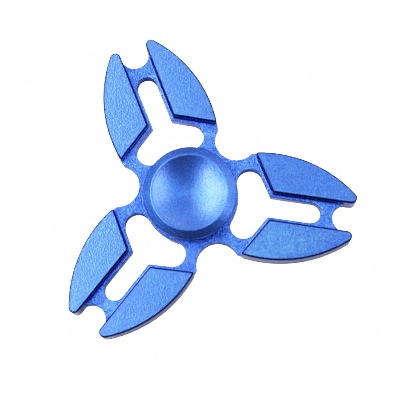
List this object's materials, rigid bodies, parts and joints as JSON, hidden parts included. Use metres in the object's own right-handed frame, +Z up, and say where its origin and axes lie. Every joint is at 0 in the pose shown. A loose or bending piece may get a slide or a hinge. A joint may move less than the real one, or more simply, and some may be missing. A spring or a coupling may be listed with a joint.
{
  "type": "fidget spinner",
  "caption": "Fidget spinner: a milled metal frame with open claw-shaped arms turns on a small ball bearing between two dished finger caps.",
  "frame": {"origin": "on the spin axis, in the plane that the lower cap's rim rests on", "axes": "+Z up along the spin axis, +Y out along arm 1, +X to the right with arm 2 on that side"},
  "size_m": [0.0692, 0.0607, 0.0128],
  "materials": {
    "anodised_blasted": "blue anodised over bead-blasted aluminium, with bright cut chamfers",
    "anodised_turned": "blue anodised over fine turned aluminium",
    "bearing_steel": "ground bearing steel",
    "ball_steel": "polished",
    "pressed_steel": "pressed sheet, satin",
    "spring_steel": "dark spring steel"
  },
  "bodies": {
    "grip": {"upper_cap": "anodised_turned", "lower_cap": "anodised_turned", "bearing_inner_ring": "bearing_steel"},
    "rotor": {"claw_frame": "anodised_blasted", "bearing_outer_ring": "bearing_steel", "upper_shield": "pressed_steel", "lower_shield": "pressed_steel", "upper_snap_ring": "spring_steel", "lower_snap_ring": "spring_steel"},
    "retainer": {"ball_retainer": "pressed_steel"},
    "ball_01": {"ball_01": "ball_steel"},
    "ball_02": {"ball_02": "ball_steel"},
    "ball_03": {"ball_03": "ball_steel"},
    "ball_04": {"ball_04": "ball_steel"},
    "ball_05": {"ball_05": "ball_steel"},
    "ball_06": {"ball_06": "ball_steel"},
    "ball_07": {"ball_07": "ball_steel"},
    "ball_08": {"ball_08": "ball_steel"},
    "ball_09": {"ball_09": "ball_steel"},
    "ball_10": {"ball_10": "ball_steel"}
  },
  "joints": [
    {"name": "frame_spin", "type": "hinge", "parent": "grip", "child": "rotor", "pos_m": [0, 0, 0.0064], "axis": [0, 0, 1], "continuous": true},
    {"name": "retainer_spin", "type": "hinge", "parent": "grip", "child": "retainer", "pos_m": [0, 0, 0.0064], "axis": [0, 0, 1], "continuous": true},
    {"name": "ball_01_spin", "type": "hinge", "parent": "retainer", "child": "ball_01", "pos_m": [0.00476, 0, 0.0064], "axis": [0, 0, 1], "continuous": true},
    {"name": "ball_02_spin", "type": "hinge", "parent": "retainer", "child": "ball_02", "pos_m": [0.00385, 0.0028, 0.0064], "axis": [0, 0, 1], "continuous": true},
    {"name": "ball_03_spin", "type": "hinge", "parent": "retainer", "child": "ball_03", "pos_m": [0.00147, 0.00453, 0.0064], "axis": [0, 0, 1], "continuous": true},
    {"name": "ball_04_spin", "type": "hinge", "parent": "retainer", "child": "ball_04", "pos_m": [-0.00147, 0.00453, 0.0064], "axis": [0, 0, 1], "continuous": true},
    {"name": "ball_05_spin", "type": "hinge", "parent": "retainer", "child": "ball_05", "pos_m": [-0.00385, 0.0028, 0.0064], "axis": [0, 0, 1], "continuous": true},
    {"name": "ball_06_spin", "type": "hinge", "parent": "retainer", "child": "ball_06", "pos_m": [-0.00476, 0, 0.0064], "axis": [0, 0, 1], "continuous": true},
    {"name": "ball_07_spin", "type": "hinge", "parent": "retainer", "child": "ball_07", "pos_m": [-0.00385, -0.0028, 0.0064], "axis": [0, 0, 1], "continuous": true},
    {"name": "ball_08_spin", "type": "hinge", "parent": "retainer", "child": "ball_08", "pos_m": [-0.00147, -0.00453, 0.0064], "axis": [0, 0, 1], "continuous": true},
    {"name": "ball_09_spin", "type": "hinge", "parent": "retainer", "child": "ball_09", "pos_m": [0.00147, -0.00453, 0.0064], "axis": [0, 0, 1], "continuous": true},
    {"name": "ball_10_spin", "type": "hinge", "parent": "retainer", "child": "ball_10", "pos_m": [0.00385, -0.0028, 0.0064], "axis": [0, 0, 1], "continuous": true}
  ],
  "couplings": [
    {"joint": "retainer_spin", "follows": "frame_spin", "ratio": 0.60499},
    {"joint": "ball_01_spin", "follows": "frame_spin", "ratio": 2.2763},
    {"joint": "ball_02_spin", "follows": "frame_spin", "ratio": 2.2763},
    {"joint": "ball_03_spin", "follows": "frame_spin", "ratio": 2.2763},
    {"joint": "ball_04_spin", "follows": "frame_spin", "ratio": 2.2763},
    {"joint": "ball_05_spin", "follows": "frame_spin", "ratio": 2.2763},
    {"joint": "ball_06_spin", "follows": "frame_spin", "ratio": 2.2763},
    {"joint": "ball_07_spin", "follows": "frame_spin", "ratio": 2.2763},
    {"joint": "ball_08_spin", "follows": "frame_spin", "ratio": 2.2763},
    {"joint": "ball_09_spin", "follows": "frame_spin", "ratio": 2.2763},
    {"joint": "ball_10_spin", "follows": "frame_spin", "ratio": 2.2763}
  ]
}
